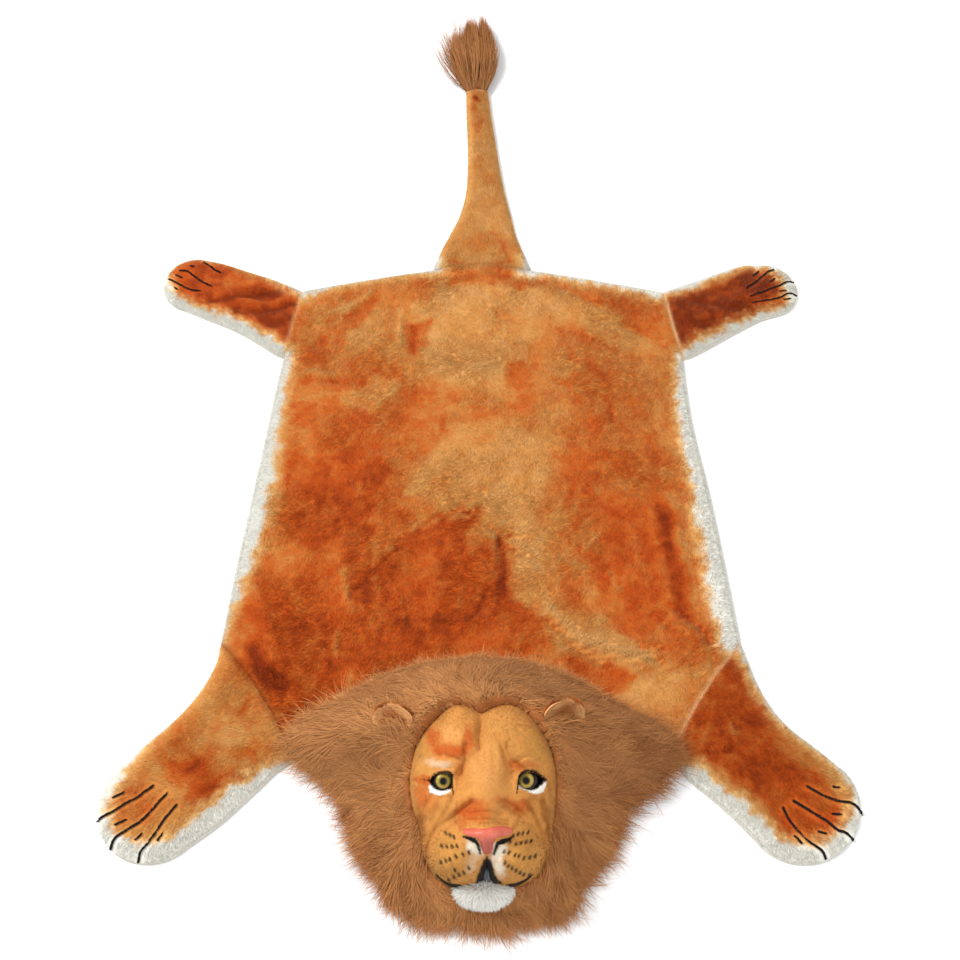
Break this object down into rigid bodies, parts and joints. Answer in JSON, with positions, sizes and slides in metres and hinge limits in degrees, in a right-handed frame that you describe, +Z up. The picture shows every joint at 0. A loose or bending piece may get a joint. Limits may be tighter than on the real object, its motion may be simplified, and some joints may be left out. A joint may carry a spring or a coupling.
{
  "type": "plush animal-skin rug",
  "caption": "Plush lion-skin shaped floor rug: flat pile back with splayed paws, a tail with a long-pile tuft and a stuffed head in a long-pile mane.",
  "frame": {"origin": "centre of the bounding box in plan, on the floor plane under the rug", "axes": "+Z up, +Y along the back from the head to the tail, +X to the side on which the right-hand legs of the picture lie"},
  "size_m": [0.8873, 1.4382, 0.161],
  "materials": {
    "plush": "short pile plush, mottled tan and burnt orange with cream edges",
    "face_plush": "short pile plush with painted patches",
    "long_pile": "long brown pile",
    "white_plush": "white long pile",
    "mouth_lining": "black cloth",
    "nose_rubber": "smooth satin pink",
    "eye_gloss": "glossy amber with a dark pupil"
  },
  "bodies": {
    "root": {"body": "plush", "leg_front_left": "plush", "leg_front_right": "plush", "leg_rear_left": "plush", "leg_rear_right": "plush", "tail": "plush", "tail_tuft": "long_pile", "mane": "long_pile", "head": "face_plush", "ear_left": "face_plush", "ear_right": "face_plush", "chin": "white_plush", "mouth": "mouth_lining", "nose": "nose_rubber", "eye_left": "eye_gloss", "eye_right": "eye_gloss"}
  },
  "joints": []
}
